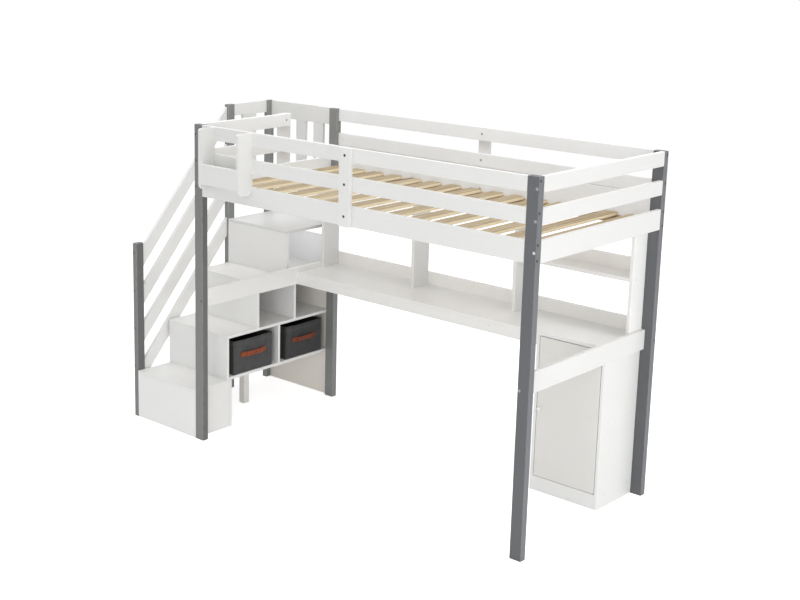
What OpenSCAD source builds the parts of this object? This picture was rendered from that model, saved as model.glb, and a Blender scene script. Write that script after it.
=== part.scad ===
// Cabin bed: a high single bed on grey posts, with a box staircase, a desk with
// a hutch and a cupboard under it, two fabric bins and a hanging bedside tray.
//
// Bed axes, before the last shift: X runs along the bed from the left face of
// its left posts, Y from the front face of its front posts, Z up from the floor.
// The staircase lies at negative X. The finished part has its origin at the
// bottom centre of its bounding box.

/* [Bed frame] */
// Length of the bed over its posts
bed_l = 2060; // [1700:1:2300]
// Depth of the bed over its posts
bed_d = 1030; // [960:1:1200]
// Height of the bed posts
post_h = 1660; // [1600:1:1900]
// Width of a bed post along the bed
post_w = 58; // [46:1:80]
// Thickness of a bed post across the bed
post_t = 36; // [32:1:50]
// Thickness of the frame boards
board_t = 20; // [16:1:25]
// Height of a guard rail
rail_h = 67; // [50:1:80]
// Height of the side boards, the end boards and the desk end rails
side_h = 95; // [85:1:110]
// Free height between two guard rails
guard_gap = 66; // [50:1:75]
// Gap between the back side board and the guard rail above it
back_gap = 3; // [1:1:10]
// Free width of the way in from the stairs
entry_w = 322; // [300:1:380]

/* [Slats] */
// Width of a slat
slat_w = 70; // [50:1:90]
// Thickness of a slat
slat_t = 15; // [10:1:18]
// Gap between two slats
slat_gap = 61; // [40:1:75]
// Depth of a ledger, which carries the slats
ledger_w = 25; // [18:1:35]
// Height of a ledger
ledger_h = 33; // [25:1:40]

/* [Staircase] */
// Width of the staircase over its posts
stair_w = 498; // [420:1:600]
// Width of a stair post along the bed
stair_post_w = 33; // [28:1:45]
// Thickness of a stair post across the bed
stair_post_t = 48; // [40:1:60]
// Height of the newel post
newel_h = 969; // [900:1:1050]
// Depth of each of the first three treads
tread_run = 223.5; // [210:0.5:235]
// Height of the first step
step_1_h = 262; // [230:1:280]
// Free height of the bottom cells
cell_1_h = 214; // [200:1:240]
// Free height of the middle cells
cell_2_h = 236; // [200:1:250]
// Free height of the top cell
cell_3_h = 236; // [200:1:250]
// Thickness of the staircase and cupboard boards
unit_t = 16; // [12:1:20]
// How far the box of the first step reaches under the next one
step_lap = 36; // [20:1:60]
// Gap above the back panel, under the top tread
back_panel_gap = 64; // [30:1:100]
// Width of the square leg under the staircase
leg_w = 40; // [30:1:55]
// Place of the leg's centre behind the front of the staircase
leg_y = 575; // [450:1:650]
// Free width of the left bottom cell
bin_cell_w = 369; // [340:1:400]

/* [Handrail] */
// Number of sloping boards
hand_n = 4; // [2:1:4]
// Height from one sloping board to the next
hand_pitch = 210; // [180:1:230]
// Drop of the first board's edge below the top of the newel post
hand_low = 40; // [20:1:60]
// Drop of the first board's edge below the top of the middle stair post
hand_high = 14; // [5:1:60]

/* [Landing guard] */
// Height of the back guard's top board
landing_top_h = 93; // [67:1:110]
// Height of the lower boards over the floor
landing_low_z = 1160; // [1080:1:1200]
// Number of slats in the back guard
back_slat_n = 3; // [2:1:4]
// Width of a slat of the back guard
back_slat_w = 72; // [50:1:85]
// Width of the slat of the end guard
end_slat_w = 105; // [80:1:150]

/* [Desk] */
// Height of the desk top
desk_h = 790; // [760:1:820]
// Depth of the desk from the back of the bed
desk_depth = 340; // [300:1:420]
// Thickness of the desk and hutch boards
desk_t = 18; // [15:1:22]
// Height of the apron under the desk top
apron_h = 48; // [35:1:70]
// Height of the desk's back board over the desk top
desk_back_h = 68; // [50:1:100]
// Drop of the end rails' lower edge below the top of the desk
desk_rail_drop = 68; // [55:1:90]
// Number of bays in the hutch
hutch_n = 3; // [2:1:4]
// Depth of the hutch from the back of the bed
hutch_depth = 145; // [120:1:200]
// Free height between the shelf and the side board of the bed
shelf_gap = 223; // [150:1:260]
// Height of the board behind the shelf
shelf_back_h = 68; // [50:1:100]

/* [Cupboard] */
// Width of the cupboard
cab_w = 372; // [330:1:450]
// Height of the plinth
plinth_h = 74; // [60:1:100]
// Height of the inner shelf over the floor
cab_shelf_z = 410; // [300:1:500]
// Gap round the door
door_gap = 3; // [2:0.5:4]
// Diameter of the knob
knob_d = 22; // [15:1:30]
// How far the knob stands out
knob_l = 20; // [15:1:30]
// Height of the knob over the floor
knob_z = 417; // [350:1:500]
// Diameter of the two pins that the door turns on
pin_d = 5; // [4:0.5:6]
// How far a pin reaches into a board
pin_bite = 12; // [8:1:14]
// Place of the pins behind the door's front and side faces
pin_inset = 6; // [5:0.5:7]
// Clearance round a pin
pin_fit = 0.05; // [0.02:0.01:0.1]

/* [Tray] */
// Place of the tray's left panel from the end of the bed
tray_x = 135; // [80:1:200]
// Width of the tray
tray_w = 283; // [220:1:330]
// Depth of the tray
tray_d = 95; // [90:1:140]
// Height of the tray's side panels
tray_h = 303; // [280:1:330]
// Thickness of the tray's boards
tray_t = 15; // [12:1:18]
// Height of the tray floor over the panels' lower ends
tray_floor_h = 28; // [15:1:60]
// Height of the tray's front lip
lip_h = 102; // [60:1:130]
// Height of the tray's back board
tray_back_h = 60; // [40:1:74]
// Radius of the panels' lower corners
tray_low_r = 30; // [20:1:45]
// Radius of the panels' upper front corner
tray_top_r = 12; // [8:1:50]

/* [Fabric bins] */
// Width of a bin
bin_w = 293; // [240:1:320]
// Height of a bin
bin_h = 188; // [150:1:195]
// Length of a bin
bin_l = 380; // [250:1:420]
// Thickness of a bin's wall
bin_wall = 4; // [3:0.5:8]
// How far a bin's front lies behind the front of its cell
bin_inset = 4; // [0:1:20]
// Width of a bin's handle
handle_w = 190; // [120:1:220]
// Height of the handle's strap
strap_h = 27; // [20:1:35]
// Thickness of the handle's strap
strap_t = 3; // [2:0.5:5]
// Free depth behind the strap
strap_rise = 11; // [8:1:20]
// Height of the handle's centre over the bottom of the bin
handle_z = 104; // [60:1:130]

/* [Fasteners] */
// Diameter of a bolt head
head_d = 13; // [10:0.5:15]
// Height of a bolt head
head_h = 4; // [3:0.5:6]
// Diameter of a bolt
bolt_d = 8; // [6:0.5:8]
// How far a bolt reaches into the end of a board
bolt_bite = 40; // [30:1:50]
// Height by which the bolts of two boards at a corner miss each other
stagger = 16.5; // [12:0.5:18]
// Width of a bolt's hexagonal socket
socket_d = 6; // [4:0.5:8]
// Diameter of a screw cap
cap_d = 9; // [7:0.5:12]
// Thickness of a screw cap
cap_h = 2; // [1:0.5:3]
// Clearance round a fastener
fastener_fit = 0.2; // [0.1:0.05:0.4]

/* [Hidden] */

// Colours
post_grey = "#6f7476";
paint_white = "#f2f1ee";
pine = "#d9b98a";
felt = "#3a3a3c";
strap_rust = "#9a4b2c";
steel_dark = "#2e2f31";

// Edge cuts and the clearance under a soft piece
edge_cut = 1.5;
post_cut = 3;
soft_fit = 0.3;

// Heights of the bed's boards
top_z = post_h - rail_h;
mid_z = top_z - guard_gap - rail_h;
side_z = mid_z - guard_gap - side_h;
slat_z = side_z + ledger_h;
guard_zs = [top_z, mid_z];

// Places along and across the bed
in_x0 = post_w;
in_x1 = bed_l - post_w;
in_y0 = post_t;
in_y1 = bed_d - post_t;
mid_x = bed_l / 2;
slat_n = floor((in_x1 - in_x0 + slat_gap) / (slat_w + slat_gap));
entry_y = in_y1 - entry_w;

// Staircase
box_w = stair_w - stair_post_w;
box_x = -box_w;
landing_y = 3 * tread_run;
floor_z = step_1_h;
step_2_h = floor_z + unit_t + cell_1_h + unit_t;
step_3_h = step_2_h + cell_2_h + unit_t;
step_4_h = step_3_h + cell_3_h + unit_t;
unit_back_y = bed_d - unit_t;
step_1_end = tread_run + step_lap;
cell_fronts = [tread_run, 2 * tread_run, landing_y];
cell_zs = [floor_z + unit_t, step_2_h, step_3_h];
cell_hs = [cell_1_h, cell_2_h, cell_3_h];

// Handrail
hand_run = landing_y - stair_post_t;
hand_z0 = newel_h - hand_low;
hand_slope = atan((post_h - hand_high - hand_z0) / hand_run);
hand_drop = rail_h / cos(hand_slope);

// Desk, hutch and cupboard
desk_y = bed_d - desk_depth;
beam_z = desk_h - desk_t - apron_h;
back_y = bed_d - desk_t;
hutch_y = bed_d - hutch_depth;
hutch_pitch = (in_x1 - in_x0 - desk_t) / hutch_n;
shelf_z = side_z - shelf_gap;
desk_rail_z = desk_h - desk_rail_drop;
cab_x = in_x1 - cab_w;
cab_in = cab_x + unit_t;
door_x1 = in_x1 - unit_t - door_gap;
door_x0 = cab_in + door_gap;
door_z0 = plinth_h + door_gap;
door_z1 = desk_h - desk_t - door_gap;
side_y = desk_y + unit_t + door_gap;
pin_x = door_x1 - pin_inset;
pin_y = desk_y + pin_inset;

// Tray
tray_z = post_h - tray_h;
tray_floor_z = tray_z + tray_floor_h;

// Bins
cell_y0 = tread_run + unit_t;
divider_y = cell_y0 + bin_cell_w;
bin_z = floor_z + unit_t + soft_fit;
bin_1_y = cell_y0 + (bin_cell_w - bin_w) / 2;
cell_2_y0 = divider_y + unit_t;
bin_2_y = cell_2_y0 + (unit_back_y - cell_2_y0 - bin_w) / 2;

// Bottom centre of the bounding box
centre = [(bed_l - stair_w) / 2, (bed_d + board_t - tray_d) / 2, 0];

// Bolt rows of one corner: heights of the bolts that hold the boards across
// the bed, and of those that hold the boards along it
side_c = side_z + side_h / 2;
cross_zs = [top_z + rail_h / 2 - stagger, mid_z + rail_h / 2 - stagger, side_c];
along_zs = [top_z + rail_h / 2 + stagger, mid_z + rail_h / 2 + stagger,
    side_c + 2 * stagger, side_c - 2 * stagger];
desk_bolt_z = desk_rail_z + side_h / 2 - stagger;
desk_back_bolt_z = beam_z + 44;
riser_bolt_zs = [step_1_h / 4, step_1_h * 0.75];

// A bolt is its head's centre on the surface, its direction and its length
bolts_front_left = concat(
    [for (z = cross_zs) [[board_t / 2, 0, z], [0, 1, 0], post_t + bolt_bite]],
    [for (z = along_zs) [[0, board_t / 2, z], [1, 0, 0], post_w + bolt_bite]],
    [[[post_w - board_t / 2, 0, desk_bolt_z], [0, 1, 0], post_t + bolt_bite]],
    [for (z = riser_bolt_zs) [[post_w, unit_t / 2, z], [-1, 0, 0], post_w + bolt_bite]]);
bolts_front_right = concat(
    [for (z = cross_zs) [[bed_l - board_t / 2, 0, z], [0, 1, 0], post_t + bolt_bite]],
    [for (z = along_zs) [[bed_l, board_t / 2, z], [-1, 0, 0], post_w + bolt_bite]],
    [[[in_x1 + board_t / 2, 0, desk_bolt_z], [0, 1, 0], post_t + bolt_bite]]);
bolts_back_right = concat(
    [for (z = cross_zs) [[bed_l - board_t / 2, bed_d, z], [0, -1, 0], post_t + bolt_bite]],
    [for (z = along_zs) [[bed_l, bed_d - board_t / 2, z], [-1, 0, 0], post_w + bolt_bite]],
    [[[in_x1 + board_t / 2, bed_d, desk_bolt_z], [0, -1, 0], post_t + bolt_bite]],
    [[[bed_l, bed_d - desk_t / 2, desk_back_bolt_z], [-1, 0, 0], post_w + bolt_bite]]);
bolts_back_left = concat(
    [[[board_t / 2, bed_d, side_c], [0, -1, 0], post_t + bolt_bite]],
    [for (z = along_zs) [[0, bed_d - board_t / 2, z], [1, 0, 0], post_w + bolt_bite]],
    [[[post_w - board_t / 2, bed_d, desk_bolt_z], [0, -1, 0], post_t + bolt_bite]],
    [[[0, bed_d - desk_t / 2, desk_back_bolt_z], [1, 0, 0], post_w + bolt_bite]]);
stile_zs = [top_z + rail_h / 2, mid_z + rail_h / 2, side_c];
stile_l = 2 * board_t - 3;
bolts_front_stile = [for (z = stile_zs) [[mid_x, -board_t, z], [0, 1, 0], stile_l]];
bolts_back_stile = [for (z = stile_zs) [[mid_x, bed_d - board_t, z], [0, 1, 0], stile_l]];
entry_bolt_y = entry_y - rail_h / 2;
bolts_entry_stile = [for (z = stile_zs) [[board_t, entry_bolt_y, z], [-1, 0, 0], stile_l]];
hand_bolt_x = -stair_w + board_t / 2;
hand_bolt_drop = 12;
bolts_newel = [for (i = [0:hand_n - 1])
    [[hand_bolt_x, 0, hand_z0 - i * hand_pitch - hand_bolt_drop], [0, 1, 0],
        stair_post_t + bolt_bite]];

// Screw caps: centre on the surface and direction into the board
upright_xs = [for (i = [0:hutch_n]) in_x0 + i * hutch_pitch + desk_t / 2];
apron_xs = [for (x = upright_xs) if (x < cab_x) x];
apron_screws = [for (x = apron_xs) [[x, desk_y, beam_z + 0.7 * apron_h], [0, 1, 0]]];
cab_screw_ys = [side_y + 40, back_y - 60];
cab_screw_zs = [plinth_h - unit_t / 2, cab_shelf_z + unit_t / 2];
cab_screws = [for (y = cab_screw_ys, z = cab_screw_zs) [[in_x1, y, z], [-1, 0, 0]]];
shelf_screws = [[[in_x1, hutch_y + 30, shelf_z - desk_t / 2], [-1, 0, 0]]];
rail_screw_xs = [in_x0 + rail_h / 2, in_x1 - rail_h / 2];
rail_screws = [for (x = rail_screw_xs, z = guard_zs)
    [[x, bed_d - board_t, z + rail_h / 2], [0, 1, 0]]];
end_screw_z = desk_rail_z + side_h / 3;
end_screws = [[[in_x0, in_y0 + board_t, end_screw_z], [-1, 0, 0]],
    [[in_x1, in_y0 + board_t, end_screw_z], [1, 0, 0]]];
tray_screw_y = tray_t / 2 - tray_d;
tray_screws = [for (z = [tray_floor_z + 0.2 * lip_h, tray_floor_z + 0.8 * lip_h], side = [-1, 1])
    [[tray_x + (1 + side) / 2 * tray_w, tray_screw_y, z], [-side, 0, 0]]];

// Outlines

// Rectangle with its corners cut
function eased(w, h, e) =
    [[e, 0], [w - e, 0], [w, e], [w, h - e], [w - e, h], [e, h], [0, h - e], [0, e]];

// Quarter circle about [x, y], from angle a on, in n steps
function quarter(x, y, r, a, n = 6) =
    [for (i = [0:n]) [x + r * cos(a + 90 * i / n), y + r * sin(a + 90 * i / n)]];

// Rectangle with rounded corners
function rounded(w, h, r, n = 3) = concat(
    quarter(w - r, r, r, -90, n), quarter(w - r, h - r, r, 0, n),
    quarter(r, h - r, r, 90, n), quarter(r, r, r, 180, n));

// Helpers

// Shifts a piece from the bed axes to the part's frame and colours it
module piece(paint) {
    color(paint) translate(-centre) children();
}

// Board at a corner point, with its four long edges eased
module board(at, size, cut = edge_cut) {
    longest = max(size);
    translate(at) {
        if (size.x == longest)
            rotate([90, 0, 90]) linear_extrude(size.x) polygon(eased(size.y, size.z, cut));
        else if (size.y == longest)
            translate([0, size.y, 0]) rotate([90, 0, 0])
                linear_extrude(size.y) polygon(eased(size.x, size.z, cut));
        else
            linear_extrude(size.z) polygon(eased(size.x, size.y, cut));
    }
}

// Post at a corner point, with rounded edges
module post(at, w, t, h) {
    translate(at) linear_extrude(h) polygon(rounded(w, t, post_cut));
}

// Turns the Z axis to a horizontal direction
function facing(d) = d.x != 0 ? [0, 90 * d.x, 0] : [-90 * d.y, 0, 0];

// Cuts the holes of some bolts out of a piece
module drilled(bolts) {
    difference() {
        children();
        for (b = bolts) translate(b[0]) rotate(facing(b[1])) {
            translate([0, 0, -1]) cylinder(d = head_d + 2 * fastener_fit, h = head_h + 1, $fn = 24);
            cylinder(d = bolt_d + 2 * fastener_fit, h = b[2] + 1, $fn = 24);
        }
    }
}

// Bolt with a round head, sunk flush, and a hexagonal socket
module bolt(b) {
    translate(b[0]) rotate(facing(b[1])) difference() {
        union() {
            cylinder(d = head_d, h = head_h, $fn = 24);
            translate([0, 0, head_h - 1]) cylinder(d = bolt_d, h = b[2] - head_h + 1, $fn = 24);
        }
        translate([0, 0, -1]) cylinder(d = socket_d, h = 0.7 * head_h + 1, $fn = 6);
    }
}

// Cuts the seats of some screw caps out of a piece
module capped(screws) {
    difference() {
        children();
        for (s = screws) translate(s[0]) rotate(facing(s[1])) translate([0, 0, -1])
            cylinder(d = cap_d + 2 * fastener_fit, h = cap_h + 1, $fn = 24);
    }
}

// Cuts the bores of the door's pins out of a piece
module pinned() {
    difference() {
        children();
        for (z = [plinth_h, door_z1]) translate([pin_x, pin_y, z - pin_bite - pin_fit])
            cylinder(d = pin_d + 2 * pin_fit, h = 2 * (pin_bite + pin_fit) + door_gap, $fn = 32);
    }
}

// Bed posts

module post_front_left() {
    piece(post_grey) drilled(bolts_front_left) post([0, 0, 0], post_w, post_t, post_h);
}

module post_front_right() {
    piece(post_grey) drilled(bolts_front_right) post([in_x1, 0, 0], post_w, post_t, post_h);
}

module post_back_right() {
    piece(post_grey) drilled(bolts_back_right) post([in_x1, in_y1, 0], post_w, post_t, post_h);
}

module post_back_left() {
    piece(post_grey) drilled(bolts_back_left) post([0, in_y1, 0], post_w, post_t, post_h);
}

// Stair posts

module newel_post() {
    piece(post_grey) drilled(bolts_newel)
        post([-stair_w, 0, 0], stair_post_w, stair_post_t, newel_h);
}

module stair_post_middle() {
    piece(post_grey) post([-stair_w, landing_y, 0], stair_post_w, stair_post_t, post_h);
}

module stair_post_back() {
    piece(post_grey) post([-stair_w, bed_d - stair_post_t, 0], stair_post_w, stair_post_t, post_h);
}

// Boards and rails of the bed

module front_side_rail() {
    piece(paint_white) drilled(concat(bolts_front_left, bolts_front_right, bolts_front_stile))
        board([in_x0, 0, side_z], [in_x1 - in_x0, board_t, side_h]);
}

module front_guard_rails() {
    piece(paint_white) drilled(concat(bolts_front_left, bolts_front_right, bolts_front_stile))
        for (z = guard_zs) board([in_x0, 0, z], [in_x1 - in_x0, board_t, rail_h]);
}

module back_side_board() {
    piece(paint_white) drilled(concat(bolts_back_left, bolts_back_right, bolts_back_stile))
        board([in_x0, bed_d - board_t, side_z],
            [in_x1 - in_x0, board_t, mid_z - back_gap - side_z]);
}

module back_guard_rails() {
    piece(paint_white) capped(rail_screws)
        drilled(concat(bolts_back_left, bolts_back_right, bolts_back_stile)) for (z = guard_zs)
            board([in_x0, bed_d - board_t, z], [in_x1 - in_x0, board_t, rail_h]);
}

module right_end_board() {
    piece(paint_white) drilled(concat(bolts_front_right, bolts_back_right))
        board([bed_l - board_t, in_y0, side_z], [board_t, in_y1 - in_y0, side_h]);
}

module right_guard_rails() {
    piece(paint_white) drilled(concat(bolts_front_right, bolts_back_right))
        for (z = guard_zs) board([bed_l - board_t, in_y0, z], [board_t, in_y1 - in_y0, rail_h]);
}

module left_end_board() {
    piece(paint_white) drilled(concat(bolts_front_left, bolts_back_left, bolts_entry_stile))
        board([0, in_y0, side_z], [board_t, in_y1 - in_y0, side_h]);
}

module entry_guard_rails() {
    piece(paint_white) drilled(concat(bolts_front_left, bolts_entry_stile))
        for (z = guard_zs) board([0, in_y0, z], [board_t, entry_y - in_y0, rail_h]);
}

// Three upright boards that tie the rails: front, back, and at the way in
module guard_stiles() {
    piece(paint_white) drilled(concat(bolts_front_stile, bolts_back_stile, bolts_entry_stile)) {
        for (y = [-board_t, bed_d])
            board([mid_x - rail_h / 2, y, side_z], [rail_h, board_t, post_h - side_z]);
        board([-board_t, entry_y - rail_h, side_z], [board_t, rail_h, post_h - side_z]);
    }
}

// Rails at desk height, flush with the inner faces of the posts
module desk_end_rails() {
    piece(paint_white) capped(end_screws) drilled(concat(bolts_front_left, bolts_back_left,
            bolts_front_right, bolts_back_right))
        for (x = [in_x0 - board_t, in_x1])
            board([x, in_y0, desk_rail_z], [board_t, in_y1 - in_y0, side_h]);
}

// Slats

module slat_ledgers() {
    piece(pine) for (y = [board_t, bed_d - board_t - ledger_w])
        board([in_x0, y, side_z], [in_x1 - in_x0, ledger_w, ledger_h]);
}

module slats() {
    piece(pine) for (i = [0:slat_n - 1])
        board([in_x0 + i * (slat_w + slat_gap), board_t + 1, slat_z],
            [slat_w, bed_d - 2 * board_t - 2, slat_t]);
}

// Handrail: sloping boards, cut upright where they meet their posts

module handrail_boards() {
    piece(paint_white) drilled(bolts_newel) for (i = [0:hand_n - 1]) {
        z0 = hand_z0 - i * hand_pitch;
        rise = hand_run * tan(hand_slope);
        translate([-stair_w, 0, 0]) rotate([90, 0, 90]) linear_extrude(board_t)
            polygon([[stair_post_t, z0 - hand_drop], [landing_y, z0 - hand_drop + rise],
                [landing_y, z0 + rise], [stair_post_t, z0]]);
    }
}

// Guard of the landing

module landing_end_rails() {
    y0 = landing_y + stair_post_t;
    run = bed_d - stair_post_t - y0;
    piece(paint_white) for (z = [top_z, landing_low_z])
        board([-stair_w, y0, z], [board_t, run, rail_h]);
}

module landing_back_rails() {
    piece(paint_white) {
        board([box_x, bed_d - board_t, post_h - landing_top_h], [box_w, board_t, landing_top_h]);
        board([box_x, bed_d - board_t, landing_low_z], [box_w, board_t, rail_h]);
    }
}

module landing_slats() {
    low = landing_low_z + rail_h;
    gap = (box_w - back_slat_n * back_slat_w) / (back_slat_n + 1);
    end_mid = (landing_y + bed_d) / 2;
    piece(paint_white) {
        for (i = [0:back_slat_n - 1])
            board([box_x + gap + i * (back_slat_w + gap), bed_d - board_t, low],
                [back_slat_w, board_t, post_h - landing_top_h - low]);
        board([-stair_w, end_mid - end_slat_w / 2, low], [board_t, end_slat_w, top_z - low]);
    }
}

// Staircase and its cells

module step_1_ends() {
    piece(paint_white) drilled(bolts_front_left) for (y = [0, step_1_end - unit_t])
        board([box_x, y, 0], [box_w, unit_t, step_1_h - unit_t]);
}

module step_1_sides() {
    piece(paint_white) for (x = [box_x, -unit_t])
        board([x, unit_t, 0], [unit_t, step_1_end - 2 * unit_t, step_1_h - unit_t]);
}

module step_1_tread() {
    piece(paint_white) board([box_x, 0, step_1_h - unit_t], [box_w, step_1_end, unit_t]);
}

// Board from front to back at one level of the staircase
module level(front, z) {
    board([box_x, front, z], [box_w, unit_back_y - front, unit_t]);
}

module unit_floor() {
    piece(paint_white) level(tread_run, floor_z);
}

module step_risers() {
    piece(paint_white) for (i = [0:2])
        board([box_x, cell_fronts[i], cell_zs[i]], [box_w, unit_t, cell_hs[i]]);
}

module step_2_tread() {
    piece(paint_white) level(tread_run, step_2_h - unit_t);
}

module step_3_tread() {
    piece(paint_white) level(2 * tread_run, step_3_h - unit_t);
}

module step_4_tread() {
    piece(paint_white) board([box_x, landing_y, step_4_h - unit_t],
        [box_w, bed_d - landing_y, unit_t]);
}

module unit_left_panels() {
    piece(paint_white) for (i = [0:2]) {
        y = cell_fronts[i] + unit_t;
        board([box_x, y, cell_zs[i]], [unit_t, unit_back_y - y, cell_hs[i]]);
    }
}

module unit_dividers() {
    upper_y0 = 2 * tread_run + unit_t;
    upper_y = (upper_y0 + unit_back_y - unit_t) / 2;
    piece(paint_white) {
        board([box_x + unit_t, divider_y, floor_z + unit_t], [box_w - unit_t, unit_t, cell_1_h]);
        board([box_x + unit_t, upper_y, step_2_h], [box_w - unit_t, unit_t, cell_2_h]);
    }
}

module unit_back() {
    piece(paint_white) board([box_x, unit_back_y, 0],
        [box_w, unit_t, step_4_h - unit_t - back_panel_gap]);
}

module unit_leg() {
    piece(paint_white) board([box_x / 2 - leg_w / 2, leg_y - leg_w / 2, 0],
        [leg_w, leg_w, floor_z]);
}

// Desk and hutch

module desk_top() {
    piece(paint_white) pinned() board([in_x0, desk_y, desk_h - desk_t],
        [in_x1 - in_x0, back_y - desk_y, desk_t]);
}

module desk_apron() {
    piece(paint_white) capped(apron_screws)
        board([in_x0, desk_y, beam_z], [cab_x - in_x0, desk_t, apron_h]);
}

module desk_cross_rails() {
    piece(paint_white) for (x = apron_xs)
        board([x - desk_t / 2, desk_y + desk_t, beam_z],
            [desk_t, back_y - desk_y - desk_t, apron_h]);
}

module desk_back_board() {
    piece(paint_white) drilled(concat(bolts_back_left, bolts_back_right))
        board([in_x0, back_y, beam_z], [in_x1 - in_x0, desk_t, desk_h + desk_back_h - beam_z]);
}

module hutch_uprights() {
    piece(paint_white) capped(shelf_screws) for (x = upright_xs)
        board([x - desk_t / 2, hutch_y, desk_h], [desk_t, back_y - hutch_y, side_z - desk_h]);
}

module upper_shelf() {
    x0 = upright_xs[hutch_n - 1] + desk_t / 2;
    piece(paint_white) board([x0, hutch_y, shelf_z - desk_t],
        [upright_xs[hutch_n] - desk_t / 2 - x0, back_y - hutch_y, desk_t]);
}

module shelf_back() {
    x0 = upright_xs[hutch_n - 1] - desk_t / 2;
    piece(paint_white) board([x0, back_y, shelf_z - desk_t],
        [in_x1 - x0, desk_t, desk_t + shelf_back_h]);
}

// Cupboard

module cabinet_sides() {
    top = desk_h - desk_t;
    piece(paint_white) capped(cab_screws) for (x = [cab_x, in_x1 - unit_t])
        board([x, desk_y, 0], [unit_t, back_y - desk_y, top]);
}

module cabinet_shelves() {
    piece(paint_white) for (z = [plinth_h - unit_t, cab_shelf_z])
        board([cab_in, side_y, z], [cab_w - 2 * unit_t, back_y - side_y, unit_t]);
}

module cabinet_back() {
    piece(paint_white) board([cab_x, back_y, 0], [cab_w, unit_t, beam_z]);
}

module cabinet_plinth() {
    piece(paint_white) pinned() board([cab_in, desk_y, 0],
        [cab_w - 2 * unit_t, side_y - desk_y, plinth_h]);
}

module door() {
    piece(paint_white) pinned() board([door_x0, desk_y, door_z0],
        [door_x1 - door_x0, unit_t, door_z1 - door_z0]);
}

module door_knob() {
    r = knob_d / 2;
    piece(paint_white) translate([door_x0 + 20, desk_y, knob_z]) rotate([90, 0, 0])
        rotate_extrude($fn = 32) polygon([[0, 0], [0.4 * r, 0], [0.4 * r, 0.45 * knob_l],
            [0.85 * r, 0.6 * knob_l], [r, 0.75 * knob_l], [0.85 * r, 0.92 * knob_l],
            [0.55 * r, knob_l], [0, knob_l]]);
}

// Pins in the plinth and the desk top, the lower one with a collar under the door
module hinge_pins() {
    piece(steel_dark) translate([pin_x, pin_y, 0]) {
        for (z = [plinth_h - pin_bite, door_z1 - pin_bite]) translate([0, 0, z])
            cylinder(d = pin_d, h = 2 * pin_bite + door_gap, $fn = 32);
        translate([0, 0, plinth_h]) cylinder(d = 2 * pin_d, h = door_gap - pin_fit, $fn = 32);
    }
}

// Tray

module tray_sides() {
    w = tray_d;
    h = tray_h;
    outline = concat(quarter(w - tray_low_r, tray_low_r, tray_low_r, -90), [[w, h]],
        quarter(tray_top_r, h - tray_top_r, tray_top_r, 90),
        quarter(tray_low_r, tray_low_r, tray_low_r, 180));
    piece(paint_white) capped(tray_screws) for (x = [tray_x, tray_x + tray_w - tray_t])
        translate([x, -tray_d, tray_z]) rotate([90, 0, 90]) linear_extrude(tray_t)
            polygon(outline);
}

// Boards in front of and behind the tray floor
module tray_lips() {
    x = tray_x + tray_t;
    w = tray_w - 2 * tray_t;
    piece(paint_white) {
        board([x, -tray_d, tray_floor_z], [w, tray_t, lip_h]);
        board([x, -tray_t, tray_floor_z], [w, tray_t, tray_back_h]);
    }
}

module tray_floor() {
    piece(paint_white) board([tray_x + tray_t, tray_t - tray_d, tray_floor_z],
        [tray_w - 2 * tray_t, tray_d - 2 * tray_t, tray_t]);
}

// Bins

// Open box with its front towards the room
module bin(y) {
    piece(felt) translate([-bin_inset - bin_l, y, bin_z]) difference() {
        cube([bin_l, bin_w, bin_h]);
        translate([bin_wall, bin_wall, bin_wall])
            cube([bin_l - 2 * bin_wall, bin_w - 2 * bin_wall, bin_h]);
    }
}

// Arched strap on the front of a bin
module strap(y) {
    w = handle_w / 2;
    t = strap_t;
    d = strap_rise;
    piece(strap_rust) translate([-bin_inset, y + bin_w / 2, bin_z + handle_z - strap_h / 2])
        linear_extrude(strap_h) polygon([[0, -w], [t, -w], [t + d, t - 0.8 * w],
            [t + d, 0.8 * w - t], [t, w], [0, w], [0, w - 2 * t], [d, 0.8 * w - 2 * t],
            [d, 2 * t - 0.8 * w], [0, 2 * t - w]]);
}

module bin_1() {
    bin(bin_1_y);
}

module bin_2() {
    bin(bin_2_y);
}

module bin_1_handle() {
    strap(bin_1_y);
}

module bin_2_handle() {
    strap(bin_2_y);
}

// Fasteners

module frame_bolts() {
    piece(steel_dark) for (b = concat(bolts_front_left, bolts_front_right, bolts_back_right,
            bolts_back_left, bolts_front_stile, bolts_back_stile, bolts_entry_stile, bolts_newel))
        bolt(b);
}

module panel_screws() {
    piece(steel_dark) for (s = concat(apron_screws, cab_screws, shelf_screws, rail_screws,
            end_screws, tray_screws))
        translate(s[0]) rotate(facing(s[1])) cylinder(d = cap_d, h = cap_h, $fn = 24);
}

post_front_left();
post_front_right();
post_back_right();
post_back_left();
newel_post();
stair_post_middle();
stair_post_back();
front_side_rail();
front_guard_rails();
back_side_board();
back_guard_rails();
right_end_board();
right_guard_rails();
left_end_board();
entry_guard_rails();
guard_stiles();
desk_end_rails();
slat_ledgers();
slats();
handrail_boards();
landing_end_rails();
landing_back_rails();
landing_slats();
step_1_ends();
step_1_sides();
step_1_tread();
unit_floor();
step_risers();
step_2_tread();
step_3_tread();
step_4_tread();
unit_left_panels();
unit_dividers();
unit_back();
unit_leg();
desk_top();
desk_apron();
desk_cross_rails();
desk_back_board();
hutch_uprights();
upper_shelf();
shelf_back();
cabinet_sides();
cabinet_shelves();
cabinet_back();
cabinet_plinth();
door();
door_knob();
hinge_pins();
tray_sides();
tray_lips();
tray_floor();
bin_1();
bin_2();
bin_1_handle();
bin_2_handle();
frame_bolts();
panel_screws();
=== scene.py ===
"""Finishes, soft pieces and studio of a cabin bed with stairs, desk and cupboard.

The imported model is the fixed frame. Its boards and posts keep their shapes and
get painted, pine and metal finishes here. The two fabric bins with their straps,
the door's knob and the small trim are built as meshes. Lengths are in metres,
in the frame's axes: X runs along the bed, Y to its back, Z up from the floor.
"""

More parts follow.
